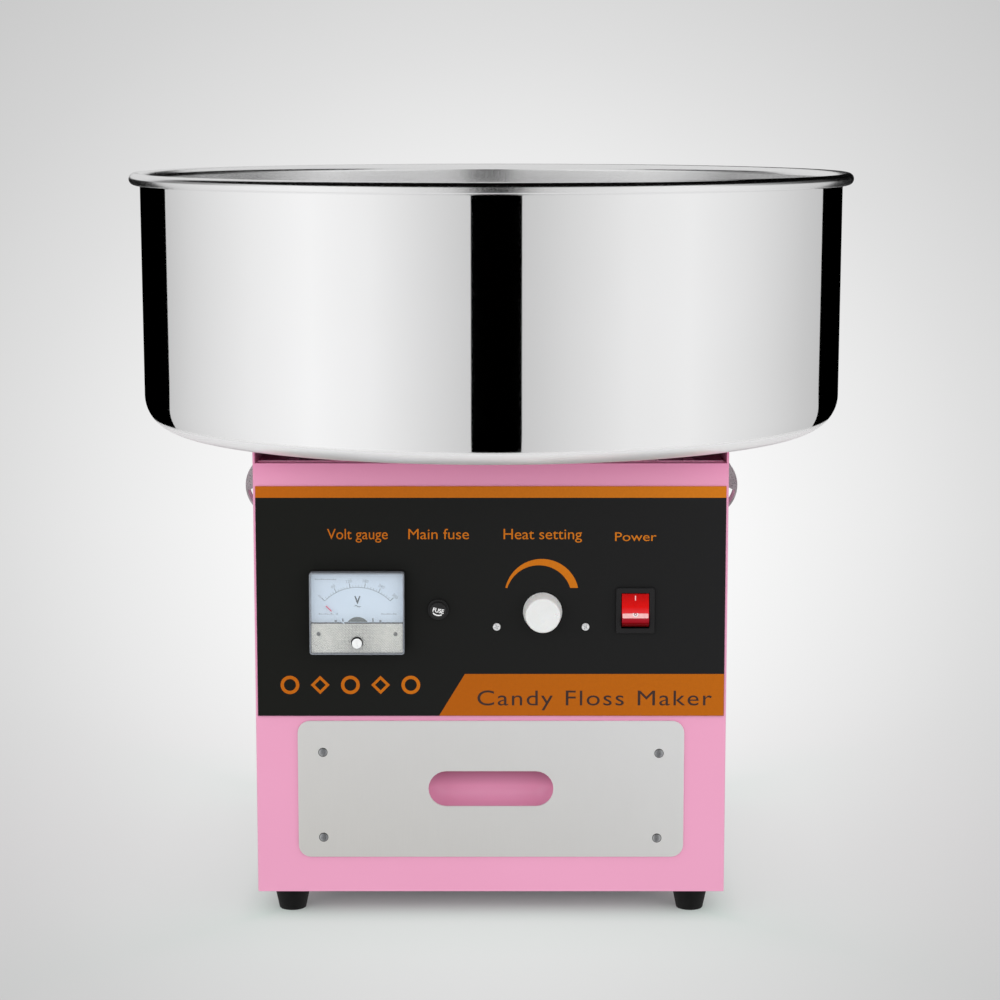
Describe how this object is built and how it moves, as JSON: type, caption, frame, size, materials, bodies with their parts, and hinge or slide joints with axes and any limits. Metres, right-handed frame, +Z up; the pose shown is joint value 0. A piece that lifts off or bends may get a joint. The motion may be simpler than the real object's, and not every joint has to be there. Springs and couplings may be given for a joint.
{
  "type": "cotton candy machine",
  "caption": "Table-top candy floss maker: sheet-metal cabinet with control panel and drawer, wide stainless bowl held by two toggle latches, motor-driven spinner head.",
  "frame": {"origin": "on the table, under the middle of the bowl", "axes": "+Z up, the front with the controls and the drawer faces -Y, +X to the right seen from the front"},
  "size_m": [0.52, 0.52, 0.5067],
  "materials": {
    "pink_paint": "satin powder coat",
    "polished_steel": "mirror-polished stainless steel",
    "satin_steel": "fine brushed satin stainless steel",
    "zinc_steel": "zinc-plated steel",
    "panel_film": "printed near-black overlay, semi-gloss",
    "black_plastic": "moulded black plastic",
    "grey_plastic": "moulded dark grey plastic",
    "white_plastic": "moulded white plastic",
    "red_plastic": "translucent red plastic",
    "clear_plastic": "clear moulded cover",
    "dial_card": "printed dial card",
    "rubber": "moulded rubber",
    "aluminium": "turned aluminium",
    "brass": "turned brass",
    "carbon": "carbon brush, matt",
    "ceramic": "insulating ceramic",
    "fuse_glass": "glass fuse tube"
  },
  "bodies": {
    "cabinet": {"cabinet_wrap": "pink_paint", "base_plate": "pink_paint", "rear_panel": "pink_paint", "top_deck": "pink_paint", "drawer_shelf": "zinc_steel", "control_panel": "panel_film", "cord_gland": "black_plastic", "foot_front_left": "rubber", "foot_front_right": "rubber", "foot_rear_left": "rubber", "foot_rear_right": "rubber", "meter_case": "black_plastic", "meter_dial": "dial_card", "meter_cover": "clear_plastic", "fuse_holder": "black_plastic", "fuse_link": "fuse_glass", "regulator_body": "black_plastic", "regulator_screw_left": "zinc_steel", "regulator_screw_right": "zinc_steel", "switch_housing": "grey_plastic", "drawer_rail_left": "zinc_steel", "drawer_rail_right": "zinc_steel", "latch_base_left": "zinc_steel", "latch_base_right": "zinc_steel", "latch_catch_left": "zinc_steel", "latch_catch_right": "zinc_steel", "bowl": "polished_steel", "bowl_gasket": "rubber", "neck_tube": "aluminium", "motor_housing": "aluminium", "motor_bracket": "zinc_steel", "brush_holder": "ceramic", "brush_lower": "carbon", "brush_upper": "carbon", "terminal_block": "white_plastic"},
    "needle": {"meter_needle": "red_plastic"},
    "zero_screw": {"meter_zero_screw": "white_plastic"},
    "fuse_cap": {"fuse_cap": "black_plastic"},
    "knob": {"regulator_shaft": "zinc_steel", "temperature_knob": "white_plastic"},
    "rocker": {"switch_rocker": "red_plastic"},
    "drawer": {"drawer_box": "pink_paint", "finger_cup": "pink_paint", "drawer_front_plate": "satin_steel"},
    "lever_left": {"latch_lever_left": "polished_steel"},
    "lever_right": {"latch_lever_right": "polished_steel"},
    "bail_left": {"latch_bail_left": "zinc_steel"},
    "bail_right": {"latch_bail_right": "zinc_steel"},
    "spinner": {"motor_shaft": "zinc_steel", "motor_rotor": "zinc_steel", "cooling_fan": "black_plastic", "slip_ring_hub": "ceramic", "slip_ring_lower": "brass", "slip_ring_upper": "brass", "head_base": "aluminium", "heater_ring": "ceramic", "head_screen": "polished_steel", "head_cover": "aluminium", "head_nut": "polished_steel"}
  },
  "joints": [
    {"name": "needle_swing", "type": "hinge", "parent": "cabinet", "child": "needle", "pos_m": [-0.0905, -0.1672, 0.1982], "axis": [0, 1, 0], "range_deg": [0, 90], "stiffness_Nm_per_rad": 0.0004},
    {"name": "zero_screw_turn", "type": "hinge", "parent": "cabinet", "child": "zero_screw", "pos_m": [-0.0905, -0.173, 0.1945], "axis": [0, 1, 0], "range_deg": [-20, 20]},
    {"name": "fuse_cap_turn", "type": "hinge", "parent": "cabinet", "child": "fuse_cap", "pos_m": [-0.0357, -0.162, 0.216], "axis": [0, -1, 0], "range_deg": [0, 45]},
    {"name": "knob_turn", "type": "hinge", "parent": "cabinet", "child": "knob", "pos_m": [0.0351, -0.162, 0.2142], "axis": [0, -1, 0], "range_deg": [-60, 210]},
    {"name": "rocker_tilt", "type": "hinge", "parent": "cabinet", "child": "rocker", "pos_m": [0.098, -0.159, 0.2152], "axis": [1, 0, 0], "range_deg": [0, 19]},
    {"name": "drawer_slide", "type": "slide", "parent": "cabinet", "child": "drawer", "axis": [0, -1, 0], "range_m": [0, 0.2]},
    {"name": "lever_left_swing", "type": "hinge", "parent": "cabinet", "child": "lever_left", "pos_m": [-0.169, 0, 0.29], "axis": [0, 1, 0], "range_deg": [0, 100]},
    {"name": "lever_right_swing", "type": "hinge", "parent": "cabinet", "child": "lever_right", "pos_m": [0.169, 0, 0.29], "axis": [0, -1, 0], "range_deg": [0, 100]},
    {"name": "bail_left_swing", "type": "hinge", "parent": "lever_left", "child": "bail_left", "pos_m": [-0.16754, 0, 0.28315], "axis": [0, 1, 0], "range_deg": [-75, 0]},
    {"name": "bail_right_swing", "type": "hinge", "parent": "lever_right", "child": "bail_right", "pos_m": [0.16754, 0, 0.28315], "axis": [0, -1, 0], "range_deg": [-75, 0]},
    {"name": "head_spin", "type": "hinge", "parent": "cabinet", "child": "spinner", "pos_m": [0, 0, 0.396], "axis": [0, 0, 1], "continuous": true}
  ],
  "couplings": [
    {"joint": "bail_left_swing", "follows": "lever_left_swing", "ratio": -0.75},
    {"joint": "bail_right_swing", "follows": "lever_right_swing", "ratio": -0.75}
  ]
}
